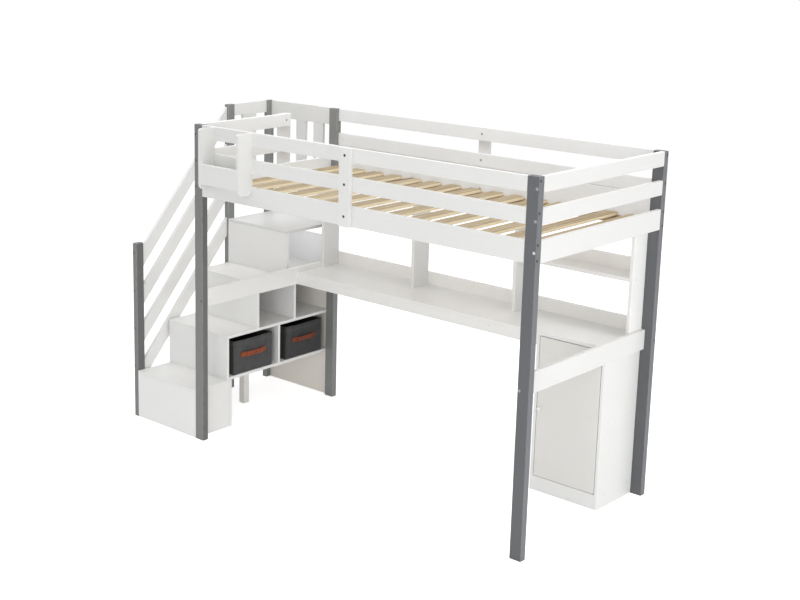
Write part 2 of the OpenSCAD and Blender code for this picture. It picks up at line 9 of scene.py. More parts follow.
import logging
import math
from dataclasses import dataclass, field
from enum import Enum
from typing import ClassVar, Sequence

import bmesh
import bpy
from mathutils import Matrix, Vector


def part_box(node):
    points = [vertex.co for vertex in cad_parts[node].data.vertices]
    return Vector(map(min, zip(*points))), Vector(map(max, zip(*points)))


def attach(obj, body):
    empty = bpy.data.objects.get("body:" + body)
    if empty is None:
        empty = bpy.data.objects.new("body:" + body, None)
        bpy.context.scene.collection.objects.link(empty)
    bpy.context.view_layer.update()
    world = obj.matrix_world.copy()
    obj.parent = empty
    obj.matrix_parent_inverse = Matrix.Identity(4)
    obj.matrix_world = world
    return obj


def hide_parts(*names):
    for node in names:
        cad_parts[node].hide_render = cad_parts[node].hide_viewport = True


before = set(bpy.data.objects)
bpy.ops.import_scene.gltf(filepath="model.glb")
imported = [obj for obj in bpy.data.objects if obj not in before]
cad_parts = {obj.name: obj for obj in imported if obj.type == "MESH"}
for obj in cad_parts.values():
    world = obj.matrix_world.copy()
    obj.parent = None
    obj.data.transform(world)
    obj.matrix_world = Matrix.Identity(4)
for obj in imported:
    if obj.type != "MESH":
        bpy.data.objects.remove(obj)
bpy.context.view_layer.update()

LOG = logging.getLogger("cabin_bed")
MM = 0.001

Triple = tuple[float, float, float]
Colour = Triple
PLAIN: Triple = (1.0, 1.0, 1.0)
STILL: Triple = (0.0, 0.0, 0.0)
# A length that reaches past the bed from anywhere on it
BEYOND = 9.0
# Share of a normal along one axis where a face starts to count, and counts in full
TURNED = (0.6, 0.9)
# Greatest share of a normal where a rounded edge starts, and where it is full
EASED = (0.97, 0.80)


class Slot(Enum):
    """The record's material slots of the pieces that are added here."""

    KNOB = "knob_white"
    FELT = "felt"
    STRAP = "strap"
    NICKEL = "nickel"


class Body(Enum):
    """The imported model's bodies."""

    BED = "bed"
    DOOR = "cupboard_door"
    BIN_1 = "fabric_bin_1"
    BIN_2 = "fabric_bin_2"


class Grain(Enum):
    """The way that the fibres of a board run."""

    ALONG_X = (1.0, 0.0, 0.0)
    ALONG_Y = (0.0, 1.0, 0.0)
    ALONG_Z = (0.0, 0.0, 1.0)
    NONE = (0.0, 0.0, 0.0)


class Side(Enum):
    """The sides of a bin, from its front on, against the clock as seen from above."""

    FRONT = (0, 5.0)
    LEFT = (90, 4.0)
    BACK = (180, 4.0)
    RIGHT = (270, 5.0)

    def __init__(self, degrees: int, ripple_start: float) -> None:
        """Keeps what sets a side apart.

        Args:
            degrees: The angle at which the side faces.
            ripple_start: Where its ripples start, in radians.
        """
        self.degrees = degrees
        self.ripple_start = ripple_start


class Value:
    """A number that changes over a surface, kept as the socket that gives it."""

    def __init__(self, graph: "Graph", socket: bpy.types.NodeSocket) -> None:
        """Wraps a socket.

        Args:
            graph: The graph that the socket belongs to.
            socket: An output socket that gives a number.
        """
        self.graph = graph
        self.socket = socket

    def __add__(self, other: "Value | float") -> "Value":
        """This value plus another."""
        return self.graph.math("ADD", self, other)

    def __radd__(self, other: float) -> "Value":
        """A number plus this value."""
        return self.graph.math("ADD", other, self)

    def __sub__(self, other: "Value | float") -> "Value":
        """This value minus another."""
        return self.graph.math("SUBTRACT", self, other)

    def __rsub__(self, other: float) -> "Value":
        """A number minus this value."""
        return self.graph.math("SUBTRACT", other, self)

    def __mul__(self, other: "Value | float") -> "Value":
        """This value times another."""
        return self.graph.math("MULTIPLY", self, other)

    def __rmul__(self, other: float) -> "Value":
        """A number times this value."""
        return self.graph.math("MULTIPLY", other, self)

    def __truediv__(self, other: "Value | float") -> "Value":
        """This value over another."""
        return self.graph.math("DIVIDE", self, other)

    def __gt__(self, other: "Value | float") -> "Value":
        """1 where this value is the greater, 0 elsewhere."""
        return self.graph.math("GREATER_THAN", self, other)

    def __lt__(self, other: "Value | float") -> "Value":
        """1 where this value is the lesser, 0 elsewhere."""
        return self.graph.math("LESS_THAN", self, other)

    def __abs__(self) -> "Value":
        """This value without its sign."""
        return self.graph.math("ABSOLUTE", self)

    def largest(self, other: "Value | float") -> "Value":
        """The greater of this value and another."""
        return self.graph.math("MAXIMUM", self, other)

    def floor(self) -> "Value":
        """The whole number below this value."""
        return self.graph.math("FLOOR", self)

    def sine(self) -> "Value":
        """The sine of this value in radians."""
        return self.graph.math("SINE", self)

    def ramp(self, start: float, end: float) -> "Value":
        """A smooth step from 0 at start to 1 at end.

        Args:
            start: The value at which the result is 0.
            end: The value at which the result is 1; it may be less than start.

        Returns:
            The stepped value.
        """
        node = self.graph.node(
            "ShaderNodeMapRange",
            {"interpolation_type": "SMOOTHSTEP"},
            {"Value": self, "From Min": start, "From Max": end},
        )
        return Value(self.graph, node.outputs["Result"])


class Graph:
    """The nodes of one material or of the world."""

    def __init__(self, tree: bpy.types.NodeTree) -> None:
        """Starts from an empty tree.

        Args:
            tree: The node tree, whose nodes are removed.
        """
        self.tree = tree
        tree.nodes.clear()

    def node(
        self,
        kind: str,
        settings: dict[str, object] | None = None,
        sockets: dict[str | int, object] | None = None,
    ) -> bpy.types.Node:
        """Adds a node, sets it up and feeds its sockets.

        Args:
            kind: The node's type name.
            settings: Properties that are set first.
            sockets: Values or links by input name or number.

        Returns:
            The new node.
        """
        node = self.tree.nodes.new(kind)
        for key, value in (settings or {}).items():
            setattr(node, key, value)
        for key, value in (sockets or {}).items():
            source = value.socket if isinstance(value, Value) else value
            if isinstance(source, bpy.types.NodeSocket):
                self.tree.links.new(source, node.inputs[key])
            else:
                node.inputs[key].default_value = source
        return node

    def math(self, operation: str, *terms: "Value | float") -> Value:
        """Adds a Math node.

        Args:
            operation: The node's operation.
            *terms: Its values in order.

        Returns:
            The node's result.
        """
        made = self.node("ShaderNodeMath", {"operation": operation}, dict(enumerate(terms)))
        return Value(self, made.outputs[0])

    def mix(self, factor: Value | float, a: object, b: object) -> bpy.types.NodeSocket:
        """Mixes two colours.

        Args:
            factor: 0 for the first colour, 1 for the second.
            a: First colour, or the socket that gives it.
            b: Second colour, or the socket that gives it.

        Returns:
            The socket of the mixed colour.
        """
        ends = {6: self._opaque(a), 7: self._opaque(b)}
        made = self.node("ShaderNodeMix", {"data_type": "RGBA"}, {0: factor, **ends})
        return made.outputs[2]

    @staticmethod
    def _opaque(colour: object) -> object:
        """A colour with its alpha, or the socket as it was."""
        return (*colour, 1.0) if isinstance(colour, tuple) else colour

    def place(self, squeeze: Triple = PLAIN, turn: Triple = STILL) -> bpy.types.NodeSocket:
        """The place on the piece in metres, scaled and turned.

        Args:
            squeeze: Scale of each axis.
            turn: Rotation about each axis in radians.

        Returns:
            The socket of the place as a vector.
        """
        spot = self.node("ShaderNodeTexCoord").outputs["Object"]
        moved = self.node("ShaderNodeMapping", {"vector_type": "POINT"},
                          {"Vector": spot, "Scale": squeeze, "Rotation": turn})
        return moved.outputs["Vector"]

    def axes(self, vector: bpy.types.NodeSocket) -> tuple[Value, Value, Value]:
        """The three numbers of a vector."""
        parts = self.node("ShaderNodeSeparateXYZ", None, {"Vector": vector}).outputs
        return Value(self, parts[0]), Value(self, parts[1]), Value(self, parts[2])

    def normal(self) -> tuple[Value, Value, Value]:
        """The direction in which the surface faces."""
        return self.axes(self.node("ShaderNodeTexCoord").outputs["Normal"])

    def facing(self) -> tuple[Value, Value, Value]:
        """How far the surface faces along X, Y and Z, without sign."""
        x, y, z = self.normal()
        return abs(x), abs(y), abs(z)

    def faces_back(self) -> Value:
        """1 on surfaces that face the back of the bed, 0 elsewhere."""
        return self.normal()[1].ramp(*TURNED)

    def edges(self) -> Value:
        """1 on the eased edges between two square faces, 0 on the faces."""
        x, y, z = self.facing()
        return x.largest(y).largest(z).ramp(*EASED)

    def noise(self, vector: bpy.types.NodeSocket, scale: float, detail: float = 3.0,
              roughness: float = 0.5) -> Value:
        """A smooth noise about 0.5.

        Args:
            vector: The place.
            scale: Cells to a metre.
            detail: Octaves.
            roughness: Strength of the finer octaves.

        Returns:
            The noise.
        """
        made = self.node(
            "ShaderNodeTexNoise", None,
            {"Vector": vector, "Scale": scale, "Detail": detail, "Roughness": roughness},
        )
        return Value(self, made.outputs[0])

    def seen(self) -> Value:
        """Tells the rays that look at a surface from those that light others.

        Returns:
            1 for rays of the camera, of reflections and through glass, 0 for others.
        """
        rays = self.node("ShaderNodeLightPath").outputs
        kinds = [Value(self, rays[name]) for name in
                 ("Is Camera Ray", "Is Glossy Ray", "Is Transmission Ray")]
        return kinds[0].largest(kinds[1]).largest(kinds[2])

    def bump(self, height: Value, distance: float, strength: float) -> bpy.types.NodeSocket:
        """Turns a height into a normal.

        Args:
            height: The height from 0 to 1.
            distance: What a height of 1 stands for, in metres.
            strength: Share of the effect.

        Returns:
            The socket of the normal.
        """
        made = self.node("ShaderNodeBump", None,
                         {"Height": height, "Distance": distance, "Strength": strength})
        return made.outputs["Normal"]


def scaled(colour: Colour, factor: float) -> Colour:
    """A colour made lighter or darker."""
    return (colour[0] * factor, colour[1] * factor, colour[2] * factor)


@dataclass(frozen=True)
class Finish:
    """What every finish has in common: a name and one surface shader."""

    name: str

    def material(self) -> bpy.types.Material:
        """Builds the finish round its shader.

        Returns:
            The material.
        """
        material = bpy.data.materials.new(self.name)
        material.use_nodes = True
        graph = Graph(material.node_tree)
        shader = graph.node("ShaderNodeBsdfPrincipled", None, self.nodes(graph))
        graph.node("ShaderNodeOutputMaterial", None, {"Surface": shader.outputs["BSDF"]})
        return material

    def nodes(self, graph: Graph) -> dict[str, object]:
        """Adds the finish's nodes.

        Args:
            graph: The material's graph.

        Returns:
            The shader's sockets.
        """
        raise NotImplementedError


@dataclass(frozen=True)
class Paint(Finish):
    """Satin paint on wood: faint fibres under it, a fine rolled skin on top."""

    colour: Colour
    roughness: float
    grain: Grain = Grain.NONE
    slope: float = 0.0
    fibre_depth: float = 0.25 * MM
    tone_shift: float = 0.02
    # Colour of the eased edges: partly wear, partly a painted highlight.
    edge_wear_and_highlight_tone: float = 1.03
    edge_share: float = 0.5
    reflection: float = 0.5
    # Painted light and shade on the faces toward X: a lighter or darker copy of the colour there, and
    # another copy past outer_x.
    painted_light_on_x_faces: float = 1.0
    painted_light_on_outermost_faces: float = 1.0
    outer_x: float = BEYOND
    # A colour painted low on the piece, up to foot_height: painted warm shade.
    foot: Colour | None = None
    foot_height: tuple[float, float] = (0.78, 0.60)
    rear: Colour | None = None
    stretch: float = 0.04
    fibre_scale: float = 190.0
    even_scale: float = 60.0
    wear_scale: float = 35.0
    cloud_scale: float = 2.6
    skin_scale: float = 900.0
    skin_depth: float = 0.04 * MM

    def nodes(self, graph: Graph) -> dict[str, object]:
        """Adds the nodes of the paint.

        Args:
            graph: The material's graph.

        Returns:
            The shader's sockets.
        """
        squeeze = tuple(self.stretch if axis else 1.0 for axis in self.grain.value)
        along = graph.place(squeeze, (self.slope, 0.0, 0.0))
        even = graph.place()
        fibre_scale = self.even_scale if self.grain is Grain.NONE else self.fibre_scale
        fibres = graph.noise(along, fibre_scale, 5.0, 0.62)
        clouds = graph.noise(even, self.cloud_scale, 3.0, 0.55)
        skin = graph.noise(even, self.skin_scale, 2.0, 0.6)
        shade = (fibres * 0.45 + clouds * 0.55).ramp(0.32, 0.68)
        tone = graph.mix(shade, scaled(self.colour, 1 - self.tone_shift),
                         scaled(self.colour, 1 + self.tone_shift))
        faces_x, _, _ = graph.facing()
        x, _, z = graph.axes(even)
        # Painted light and shade: the faces toward X take a lighter or darker copy of the colour, those
        # past outer_x another copy.
        ends = graph.mix(x > self.outer_x, scaled(self.colour, self.painted_light_on_x_faces),
                         scaled(self.colour, self.painted_light_on_outermost_faces))
        tone = graph.mix(faces_x.ramp(*TURNED), tone, ends)
        # Painted warm shade: the foot colour low on the piece.
        if self.foot is not None:
            tone = graph.mix(z.ramp(*self.foot_height), tone, self.foot)
        # Faces toward the back keep the plain rear colour, without the painted light of the main
        # colour.
        if self.rear is not None:
            tone = graph.mix(graph.faces_back(), tone, self.rear)
        # Lighter eased edges in patches: partly wear, partly a painted highlight.
        wear = graph.noise(even, self.wear_scale).ramp(0.35, 0.6)
        tone = graph.mix(graph.edges() * wear * self.edge_share, tone,
                         scaled(self.colour, self.edge_wear_and_highlight_tone))
        height = fibres * self.fibre_depth + skin * self.skin_depth
        return {
            "Base Color": tone,
            "Roughness": self.roughness + (clouds - 0.5) * 0.10 + (fibres - 0.5) * 0.08,
            "Normal": graph.bump(height, 1.0, 0.5),
            "Specular IOR Level": self.reflection,
        }


@dataclass(frozen=True)
class Pine(Finish):
    """Bare pine: streaks along the board, a few knots, each board its own tone."""

    grain: Grain
    light: Colour = (0.480, 0.398, 0.272)
    dark: Colour = (0.270, 0.195, 0.105)
    knot: Colour = (0.130, 0.065, 0.028)
    # Painted light: the much lighter colour of the faces toward X.
    side: Colour = (0.900, 0.770, 0.540)
    board_pitch: float = 131 * MM
    first_board: float = -0.723
    stretch: float = 0.07
    ring_scale: float = 16.0
    fibre_scale: float = 420.0
    knot_scale: float = 7.5
    knot_edge: tuple[float, float] = (0.17, 0.10)

    def nodes(self, graph: Graph) -> dict[str, object]:
        """Adds the nodes of the pine.

        Args:
            graph: The material's graph.

        Returns:
            The shader's sockets.
        """
        runs_y = self.grain is Grain.ALONG_Y
        squeeze = (1.0, self.stretch, 1.0) if runs_y else (self.stretch, 1.0, 1.0)
        x, _, _ = graph.axes(graph.place())
        board = ((x - self.first_board) / self.board_pitch).floor()
        own = graph.node("ShaderNodeTexWhiteNoise", {"noise_dimensions": "1D"}, {"W": board})
        own_tone = Value(graph, own.outputs["Value"])
        own_shift = graph.node("ShaderNodeVectorMath", {"operation": "SCALE"},
                               {0: own.outputs["Color"], "Scale": 3.0})
        along = graph.node("ShaderNodeVectorMath", {"operation": "ADD"},
                           {0: graph.place(squeeze), 1: own_shift.outputs[0]}).outputs[0]
        rings = graph.node(
            "ShaderNodeTexWave",
            {"wave_type": "BANDS", "bands_direction": "X" if runs_y else "Y"},
            {"Vector": along, "Scale": self.ring_scale, "Distortion": 9.0, "Detail": 3.0,
             "Detail Scale": 1.6, "Detail Roughness": 0.6},
        )
        streaks = Value(graph, rings.outputs[1])
        fibres = graph.noise(along, self.fibre_scale, 4.0, 0.65)
        knots = graph.node("ShaderNodeTexVoronoi", {"feature": "F1"},
                           {"Vector": along, "Scale": self.knot_scale, "Randomness": 1.0})
        knot_mask = Value(graph, knots.outputs["Distance"]).ramp(*self.knot_edge)
        tone = graph.mix((streaks * 0.55 + fibres * 0.35 + own_tone * 0.25).ramp(0.15, 1.05),
                         self.light, self.dark)
        tone = graph.mix(knot_mask * 0.8, tone, self.knot)
        # Painted light: the faces toward X take the much lighter side colour.
        faces_x, _, _ = graph.facing()
        painted_light_sides = graph.mix(fibres, scaled(self.side, 0.92), self.side)
        tone = graph.mix(faces_x.ramp(0.75, 0.95), tone, painted_light_sides)
        tone = graph.mix(graph.edges() * 0.35, tone, scaled(self.light, 1.15))
        return {
            "Base Color": tone,
            "Roughness": 0.58 + (fibres - 0.5) * 0.18,
            "Normal": graph.bump(streaks * 0.3 + fibres, 0.25 * MM, 0.7),
            "Specular IOR Level": 0.2,
        }


@dataclass(frozen=True)
class Felt(Finish):
    """Dark woven bin fabric with a soft nap."""

    colour: Colour = (0.062, 0.061, 0.063)
    thread: float = 3.2 * MM
    # Painted shade: how much darker the faces toward Y are.
    painted_shade_on_sides: float = 0.45
    nap_scale: float = 420.0
    mottle_scale: float = 28.0
    turned: float = 0.7

    def nodes(self, graph: Graph) -> dict[str, object]:
        """Adds the nodes of the fabric.

        Args:
            graph: The material's graph.

        Returns:
            The shader's sockets.
        """
        even = graph.place()
        x, y, z = graph.axes(even)
        faces_x, faces_y, faces_z = graph.facing()
        turn = 2 * math.pi / self.thread
        across = (x * turn).sine() * (faces_x < self.turned)
        across = across + (y * turn).sine() * (faces_x > self.turned)
        up = (z * turn).sine() * (faces_z < self.turned)
        up = up + (y * turn).sine() * (faces_z > self.turned)
        weave = across * up * 0.5 + 0.5
        nap = graph.noise(even, self.nap_scale, 4.0, 0.7)
        mottle = graph.noise(even, self.mottle_scale, 4.0, 0.6)
        shade = (weave * 0.30 + nap * 0.45 + mottle * 0.45).ramp(0.25, 0.95)
        tone = graph.mix(shade, scaled(self.colour, 0.62), scaled(self.colour, 1.40))
        # Painted shade: the faces toward Y darkened.
        side = faces_y.ramp(0.80, 0.98)
        return {
            "Base Color": graph.mix(side, tone, scaled(self.colour, self.painted_shade_on_sides)),
            "Roughness": 0.86 + (nap - 0.5) * 0.12,
            "Normal": graph.bump(weave * 0.6 + nap * 0.8, 0.5 * MM, 0.8),
            "Specular IOR Level": 0.2,
            "Sheen Weight": 0.25,
            "Sheen Roughness": 0.5,
        }


@dataclass(frozen=True)
class Leather(Finish):
    """Rust leather of the straps: pebbled grain, darker in its hollows."""

    colour: Colour = (0.270, 0.058, 0.018)

    def nodes(self, graph: Graph) -> dict[str, object]:
        """Adds the nodes of the leather.

        Args:
            graph: The material's graph.

        Returns:
            The shader's sockets.
        """
        even = graph.place()
        pebbles = graph.node("ShaderNodeTexVoronoi", {"feature": "F1"},
                             {"Vector": even, "Scale": 640.0})
        pebble = Value(graph, pebbles.outputs["Distance"])
        wear = graph.noise(even, 60.0, 4.0, 0.6)
        tone = graph.mix(wear.ramp(0.3, 0.7), scaled(self.colour, 0.72), scaled(self.colour, 1.3))
        tone = graph.mix(pebble.ramp(0.35, 0.75) * 0.4, tone, scaled(self.colour, 0.45))
        return {
            "Base Color": tone,
            "Roughness": 0.60 + (wear - 0.5) * 0.2,
            "Normal": graph.bump(1.0 - pebble, 0.4 * MM, 0.6),
            "Specular IOR Level": 0.25,
        }


@dataclass(frozen=True)
class Metal(Finish):
    """Brushed or blackened metal with small marks."""

    colour: Colour
    roughness: float
    metallic: float = 1.0

    def nodes(self, graph: Graph) -> dict[str, object]:
        """Adds the nodes of the metal.

        Args:
            graph: The material's graph.

        Returns:
            The shader's sockets.
        """
        even = graph.place()
        marks = graph.noise(even, 700.0, 4.0, 0.7)
        smears = graph.noise(even, 90.0)
        tone = graph.mix(marks.ramp(0.3, 0.7), scaled(self.colour, 0.85),
                         scaled(self.colour, 1.12))
        return {
            "Base Color": tone,
            "Metallic": self.metallic,
            "Roughness": self.roughness + (smears - 0.5) * 0.2,
            "Normal": graph.bump(marks, 0.05 * MM, 0.5),
        }


@dataclass(frozen=True)
class BoltSteel(Finish):
    """Bolts of the frame: dark steel, painted at the left; on the near post's front a painted highlight
    makes them light.
    """

    steel: Colour = (0.050, 0.051, 0.053)
    painted: Colour = (0.110, 0.115, 0.118)
    # Painted highlight: the light colour of the bolts on the near post's front.
    plated: Colour = (0.420, 0.420, 0.415)
    # Painted highlight: the near-white colour of one bolt there.
    cap: Colour = (0.780, 0.780, 0.770)
    pale: Colour = (0.480, 0.480, 0.475)
    painted_x: float = -0.6
    pale_x: float = 1.2
    pale_y: float = -0.3
    # Where the painted highlight lies: the near post's front, and one bolt's height on it.
    near_x: tuple[float, float] = (1.200, 1.277)
    near_y: float = -0.474
    cap_z: tuple[float, float] = (1.33, 1.36)

    def nodes(self, graph: Graph) -> dict[str, object]:
        """Adds the nodes of the bolts.

        Args:
            graph: The material's graph.

        Returns:
            The shader's sockets.
        """
        even = graph.place()
        x, y, z = graph.axes(even)
        marks = graph.noise(even, 600.0, 4.0, 0.7)
        # Painted highlight: the bolts on the near post's front lighter, one near-white, and not
        # metallic so that the colour shows.
        near = (x > self.near_x[0]) * (x < self.near_x[1]) * (y < self.near_y)
        brightest_painted_highlight = near * (z > self.cap_z[0]) * (z < self.cap_z[1])
        tone = graph.mix(x < self.painted_x, self.steel, self.painted)
        tone = graph.mix((y > self.pale_y) * (x < self.pale_x), tone, self.pale)
        tone = graph.mix(near, tone, self.plated)
        tone = graph.mix(brightest_painted_highlight, tone, self.cap)
        return {
            "Base Color": graph.mix(marks.ramp(0.3, 0.7) * 0.25, tone, self.steel),
            "Metallic": 0.3 * (1.0 - near),
            "Roughness": 0.38 + (marks - 0.5) * 0.2,
            "Normal": graph.bump(marks, 0.05 * MM, 0.5),
        }


@dataclass(frozen=True)
class Gloss(Finish):
    """Hard white gloss of the knob, with tiny turning marks."""

    colour: Colour = (0.80, 0.80, 0.79)

    def nodes(self, graph: Graph) -> dict[str, object]:
        """Adds the nodes of the gloss.

        Args:
            graph: The material's graph.

        Returns:
            The shader's sockets.
        """
        even = graph.place()
        clouds = graph.noise(even, 120.0)
        skin = graph.noise(even, 900.0, 2.0)
        return {
            "Base Color": graph.mix(clouds, scaled(self.colour, 0.96), self.colour),
            "Roughness": 0.14 + (clouds - 0.5) * 0.08,
            "Normal": graph.bump(skin, 0.02 * MM, 0.5),
            "Coat Weight": 0.5,
            "Coat Roughness": 0.06,
        }


WHITE: Colour = (0.800, 0.798, 0.787)
RAIL_WHITE: Colour = (0.742, 0.742, 0.730)
PANEL_WHITE: Colour = (0.815, 0.813, 0.802)
DOOR_WHITE: Colour = (0.745, 0.738, 0.710)
SHADED_WHITE: Colour = (0.715, 0.714, 0.706)
# Painted light: a lighter, cooler white on the back side board and back guard rails.
COOL_PAINTED_LIGHT: Colour = (0.835, 0.846, 0.860)
# Painted light: a lighter, cooler white on the left end board, the entry rails and the stair back
# panel.
BRIGHT_PAINTED_LIGHT: Colour = (0.865, 0.876, 0.886)
# Painted light: a lighter, warmer white on the desk's and shelf's back boards.
WARM_PAINTED_LIGHT: Colour = (0.900, 0.890, 0.868)
# Painted warm shade, low on the stair back panel.
WARM_PAINTED_SHADE: Colour = (0.900, 0.855, 0.790)
# Painted light: a lighter, warmer white on the stair leg.
LEG_PAINTED_LIGHT: Colour = (0.930, 0.900, 0.860)
GREY: Colour = (0.106, 0.110, 0.117)
# Painted light: a lighter copy of the grey paint on the front left post and the newel.
LEFT_GREY_PAINTED_LIGHT: Colour = (0.192, 0.198, 0.193)
# Painted light: a lighter copy still of the grey paint on the back posts.
BACK_GREY_PAINTED_LIGHT: Colour = (0.232, 0.240, 0.232)
HANDRAIL_RISE = 717.0 * MM
HANDRAIL_RUN = 622.5 * MM


RAIL_PAINT = dict(roughness=0.40, fibre_depth=0.22 * MM)
BOARD_PAINT = dict(roughness=0.36, fibre_depth=0.05 * MM, tone_shift=0.012)
TREAD_PAINT = dict(roughness=0.42, grain=Grain.ALONG_X, fibre_depth=0.08 * MM,
                   tone_shift=0.015)
# The posts' much lighter edges: partly wear, partly a painted highlight.
POST_PAINT = dict(roughness=0.50, grain=Grain.ALONG_Z, fibre_depth=0.30 * MM, tone_shift=0.06,
                  edge_wear_and_highlight_tone=1.9, edge_share=0.7, reflection=0.4)


class Coat(Enum):
    """The finishes of the bed."""

    RAIL_X = Paint("white rail along X", RAIL_WHITE, grain=Grain.ALONG_X, **RAIL_PAINT)
    RAIL_Y = Paint("white rail along Y", WHITE, grain=Grain.ALONG_Y, **RAIL_PAINT)
    RAIL_Z = Paint("white rail upright", RAIL_WHITE, grain=Grain.ALONG_Z, **RAIL_PAINT)
    # Painted light on the back and the left rails: lighter, cooler whites; faces toward the back keep
    # plain white.
    INNER_RAIL_X = Paint("cool rail along X", COOL_PAINTED_LIGHT, grain=Grain.ALONG_X, rear=WHITE, **RAIL_PAINT)
    INNER_RAIL_Y = Paint("bright rail along Y", BRIGHT_PAINTED_LIGHT, grain=Grain.ALONG_Y, **RAIL_PAINT)
    PANEL = Paint("white panel", PANEL_WHITE, **BOARD_PAINT)
    # Painted light on the hutch's back boards: a lighter, warmer white; faces toward the back keep
    # plain white.
    HUTCH_BACK = Paint("hutch back", WARM_PAINTED_LIGHT, rear=WHITE, **BOARD_PAINT)
    # Painted light on the stair leg: a lighter white.
    LEG = Paint("stair leg", LEG_PAINTED_LIGHT, **BOARD_PAINT)
    # Painted shade on the uprights' faces toward X under the bed, painted light on the outermost one's
    # face toward X.
    UPRIGHT = Paint("white upright", PANEL_WHITE, painted_light_on_x_faces=0.88, painted_light_on_outermost_faces=1.12, outer_x=1.19,
                    **BOARD_PAINT)
    # Painted light on the stair back panel, with warm painted shade low down; faces toward the back
    # keep plain white.
    UNIT_BACK = Paint("stair back panel", BRIGHT_PAINTED_LIGHT, foot=WARM_PAINTED_SHADE, rear=WHITE, **BOARD_PAINT)
    TRAY = Paint("white tray", RAIL_WHITE, **BOARD_PAINT)
    HANDRAIL = Paint("white handrail", WHITE, grain=Grain.ALONG_Y,
                     slope=-math.atan2(HANDRAIL_RISE, HANDRAIL_RUN), **RAIL_PAINT)
    DOOR = Paint("white door", DOOR_WHITE, **BOARD_PAINT)
    TREAD = Paint("white tread", WHITE, **TREAD_PAINT)
    TOP_TREAD = Paint("shaded tread", SHADED_WHITE, **TREAD_PAINT)
    # Painted light: the near posts' faces toward X much lighter.
    POST = Paint("grey post", GREY, painted_light_on_x_faces=1.5, **POST_PAINT)
    # Painted light on the front left post and the newel, with painted shade on their faces toward X.
    LEFT_POST = Paint("grey post, painted light at left", LEFT_GREY_PAINTED_LIGHT, painted_light_on_x_faces=0.66, **POST_PAINT)
    # Painted light: the back posts in a lighter copy of the grey.
    FAR_POST = Paint("grey post, painted light at back", BACK_GREY_PAINTED_LIGHT, **POST_PAINT)
    SLAT = Pine("pine slat", Grain.ALONG_Y)
    LEDGER = Pine("pine ledger", Grain.ALONG_X, light=(0.400, 0.300, 0.180),
                  dark=(0.300, 0.205, 0.110), board_pitch=BEYOND)
    FELT_1 = Felt("bin fabric")
    # Painted shade: the second bin's fabric darker.
    FELT_2 = Felt("bin fabric in painted shade", (0.042, 0.041, 0.043))
    LEATHER_1 = Leather("rust leather")
    # Painted shade: the second bin's strap darker.
    LEATHER_2 = Leather("rust leather in painted shade", (0.170, 0.040, 0.016))
    THREAD = Felt("thread", (0.10, 0.10, 0.10), 0.8 * MM)
    STRAP_THREAD = Felt("strap thread", (0.34, 0.12, 0.05), 0.8 * MM)
    NICKEL = Metal("nickel", (0.66, 0.64, 0.60), 0.28)
    BRONZE = Metal("dark bronze", (0.30, 0.17, 0.11), 0.42)
    CAP = Metal("plated cap", (0.72, 0.72, 0.71), 0.42, 0.3)
    BOLT = BoltSteel("bolt steel")
    PIN = Metal("blackened steel", (0.07, 0.07, 0.072), 0.4, 0.8)
    GLOSS = Gloss("white gloss")


class Finishes:
    """The materials of all the finishes, built once."""

    def __init__(self) -> None:
        """Builds the materials in the order of the finishes."""
        self.made = {coat: coat.value.material() for coat in Coat}

    def __getitem__(self, coat: Coat) -> bpy.types.Material:
        """The material of a finish."""
        return self.made[coat]


def put_on(node: str, material: bpy.types.Material) -> None:
    """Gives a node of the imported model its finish.

    Args:
        node: The node's name.
        material: The finish.
    """
    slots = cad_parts[node].material_slots
    for held in slots:
        held.material = material
    if not slots:
        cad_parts[node].data.materials.append(material)


def add_piece(
    name: str,
    shape: bmesh.types.BMesh,
    material: bpy.types.Material,
    body: Body,
    smooth: bool = True,
) -> bpy.types.Object:
    """Turns a shape into a piece that rides on a body.

    Args:
        name: The piece's name.
        shape: Its mesh, which is freed.
        material: Its finish.
        body: The body that it moves with.
        smooth: Whether it is shaded smooth.

    Returns:
        The piece.
    """
    bmesh.ops.recalc_face_normals(shape, faces=shape.faces[:])
    mesh = bpy.data.meshes.new(name)
    shape.to_mesh(mesh)
    shape.free()
    mesh.materials.append(material)
    for face in mesh.polygons:
        face.use_smooth = smooth
    piece = bpy.data.objects.new(name, mesh)
    bpy.context.scene.collection.objects.link(piece)
    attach(piece, body.value)
    LOG.info("piece %s on %s: %d faces", name, body.value, len(mesh.polygons))
    return piece


def lathe(shape: bmesh.types.BMesh, profile: Sequence[tuple[float, float]], centre: Vector,
          axis: Vector, steps: int) -> None:
    """Adds a turned form whose profile starts and ends on its axis.

    Args:
        shape: The mesh that it goes into.
        profile: Radius and height of each point, from one end to the other.
        centre: Where height 0 lies.
        axis: Direction of the height.
        steps: Points round the axis.
    """
    turn = axis.to_track_quat("Z", "Y").to_matrix()
    rings = []
    for radius, height in profile:
        count = steps if radius > 0 else 1
        rings.append([
            shape.verts.new(centre + turn @ Vector((
                radius * math.cos(2 * math.pi * i / steps),
                radius * math.sin(2 * math.pi * i / steps), height)))
            for i in range(count)
        ])
    for low, high in zip(rings, rings[1:]):
        for i in range(steps):
            j = (i + 1) % steps
            corners = [low[i % len(low)], low[j % len(low)], high[j % len(high)],
                       high[i % len(high)]]
            shape.faces.new(list(dict.fromkeys(corners)))


def bridge(shape: bmesh.types.BMesh, rings: Sequence[Sequence[bmesh.types.BMVert]]) -> None:
    """Joins rings of equal length into a form that is closed at both ends.

    Args:
        shape: The mesh of the rings.
        rings: The rings in order.
    """
    for low, high in zip(rings, rings[1:]):
        for i, corner in enumerate(low):
            j = (i + 1) % len(low)
            shape.faces.new((corner, low[j], high[j], high[i]))
    shape.faces.new(rings[0][::-1])
    shape.faces.new(rings[-1])


# Shares of a stitch's length and width that its top keeps
STITCH_TOP = (0.6, 0.5)


